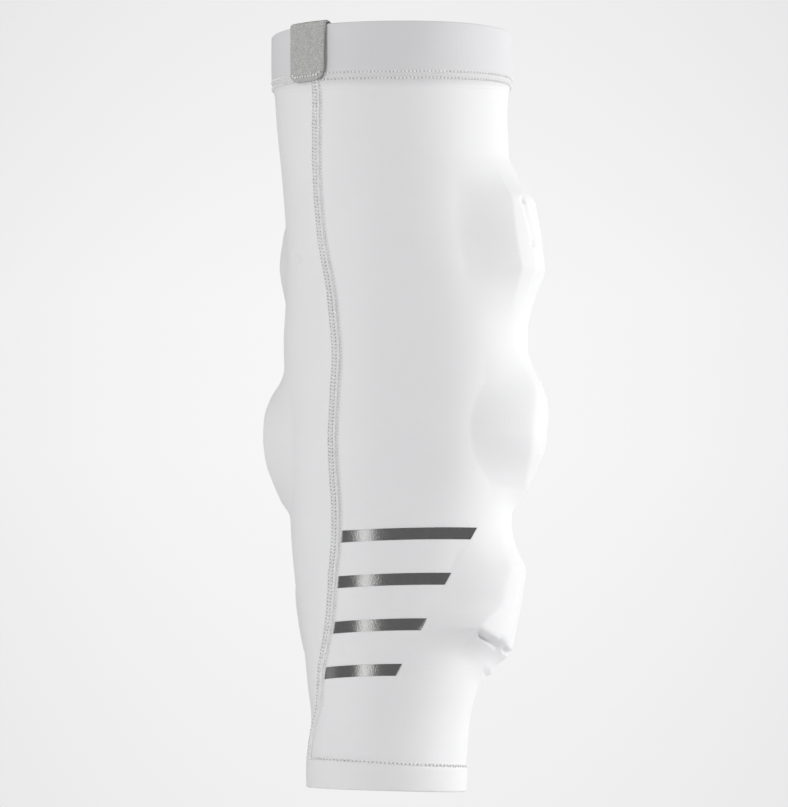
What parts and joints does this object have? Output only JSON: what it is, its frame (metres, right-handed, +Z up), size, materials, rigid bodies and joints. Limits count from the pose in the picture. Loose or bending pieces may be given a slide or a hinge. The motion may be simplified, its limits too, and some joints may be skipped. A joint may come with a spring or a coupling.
{
  "type": "lacrosse arm pad",
  "caption": "Padded stretch arm sleeve, a hollow knitted tube with doubled cuffs, a pull tab, stripes and three foam pads behind the arm.",
  "frame": {"origin": "the middle of the elbow on the arm's axis, where the sleeve sits on an arm", "axes": "+Z up the arm towards the shoulder opening, -Y the front, which is the inner side of the arm with the seam and stripes, +X to the right seen from the front"},
  "size_m": [0.1428, 0.1237, 0.379],
  "materials": {
    "white_knit": "fine matt stretch knit",
    "seam_knit": "coverstitched strip",
    "grey_ribbon": "heathered woven ribbon",
    "grey_film": "satin reflective film",
    "pad_foam": "matt closed-cell foam"
  },
  "bodies": {
    "root": {"sleeve": "white_knit", "top_cuff": "white_knit", "bottom_cuff": "white_knit", "side_seam": "seam_knit", "pull_tab": "grey_ribbon", "forearm_pad": "pad_foam", "elbow_pad": "pad_foam", "upper_arm_pad": "pad_foam", "stripe_1": "grey_film", "stripe_2": "grey_film", "stripe_3": "grey_film", "stripe_4": "grey_film"}
  },
  "joints": []
}
